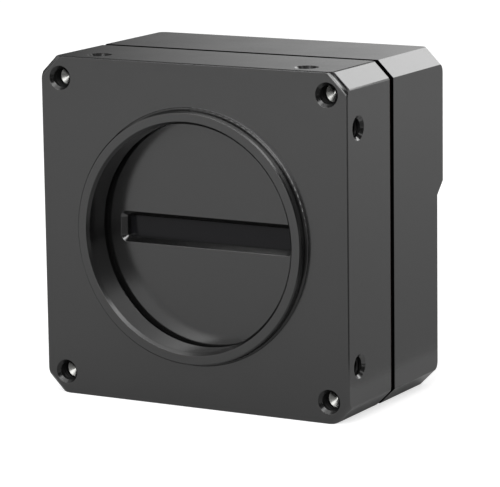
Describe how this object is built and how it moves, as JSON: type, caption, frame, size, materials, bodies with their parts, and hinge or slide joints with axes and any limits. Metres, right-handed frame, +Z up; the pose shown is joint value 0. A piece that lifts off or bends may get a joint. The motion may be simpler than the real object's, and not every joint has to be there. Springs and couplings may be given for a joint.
{
  "type": "machine vision camera",
  "caption": "Dark anodised line-scan machine vision camera with a recessed threaded lens mount, a slotted sensor window, threaded mounting holes, and network and power sockets at the back.",
  "frame": {"origin": "on the surface the camera stands on, under the middle of the whole camera", "axes": "-Y out of the lens mount, +X to the right when the lens side is seen from the front, +Z up"},
  "size_m": [0.062, 0.0436, 0.062],
  "materials": {
    "anodised_aluminium": "dark grey anodised, fine satin",
    "seam_rubber": "matt, near black with a red tint",
    "window_glass": "polished, coated",
    "foam_rubber": "matt foam",
    "sensor_ceramic": "fine matt",
    "cover_glass": "polished",
    "silicon": "polished",
    "gold_plate": "bright plated",
    "board_laminate": "solder resist",
    "connector_plastic": "moulded",
    "nickel_brass": "nickel plated",
    "chip_moulding": "moulded epoxy",
    "thermal_silicone": "matt",
    "zinc_steel": "zinc plated",
    "ferrite": "matt",
    "shield_steel": "tin plated",
    "jack_plastic": "moulded",
    "plated_shell": "satin plated",
    "insert_plastic": "moulded",
    "seal_rubber": "matt",
    "clear_plastic": "clear, slightly frosted",
    "led_resin": "clear resin",
    "black_steel": "black oxide"
  },
  "bodies": {
    "root": {"front_housing": "anodised_aluminium", "rear_housing": "anodised_aluminium", "seam_gasket": "seam_rubber", "window_glass": "window_glass", "dust_seal": "foam_rubber", "sensor_package": "sensor_ceramic", "sensor_cover_glass": "cover_glass", "sensor_die": "silicon", "sensor_leads": "gold_plate", "sensor_board": "board_laminate", "sensor_link_plug": "connector_plastic", "sensor_link_socket": "connector_plastic", "board_spacers": "nickel_brass", "processing_board": "board_laminate", "image_processor": "chip_moulding", "thermal_pad": "thermal_silicone", "memory_chips": "chip_moulding", "processing_board_screws": "zinc_steel", "interface_spacers": "nickel_brass", "interface_link_plug": "connector_plastic", "interface_link_socket": "connector_plastic", "interface_board": "board_laminate", "interface_board_screws": "zinc_steel", "network_magnetics": "chip_moulding", "power_inductors": "ferrite", "jack_shield": "shield_steel", "jack_insert": "jack_plastic", "jack_contacts": "gold_plate", "socket_shell": "plated_shell", "socket_insert": "insert_plastic", "socket_pins": "gold_plate", "socket_nut": "nickel_brass", "socket_seal": "seal_rubber", "status_light_pipe": "clear_plastic", "status_led": "led_resin", "housing_screws": "black_steel"}
  },
  "joints": []
}
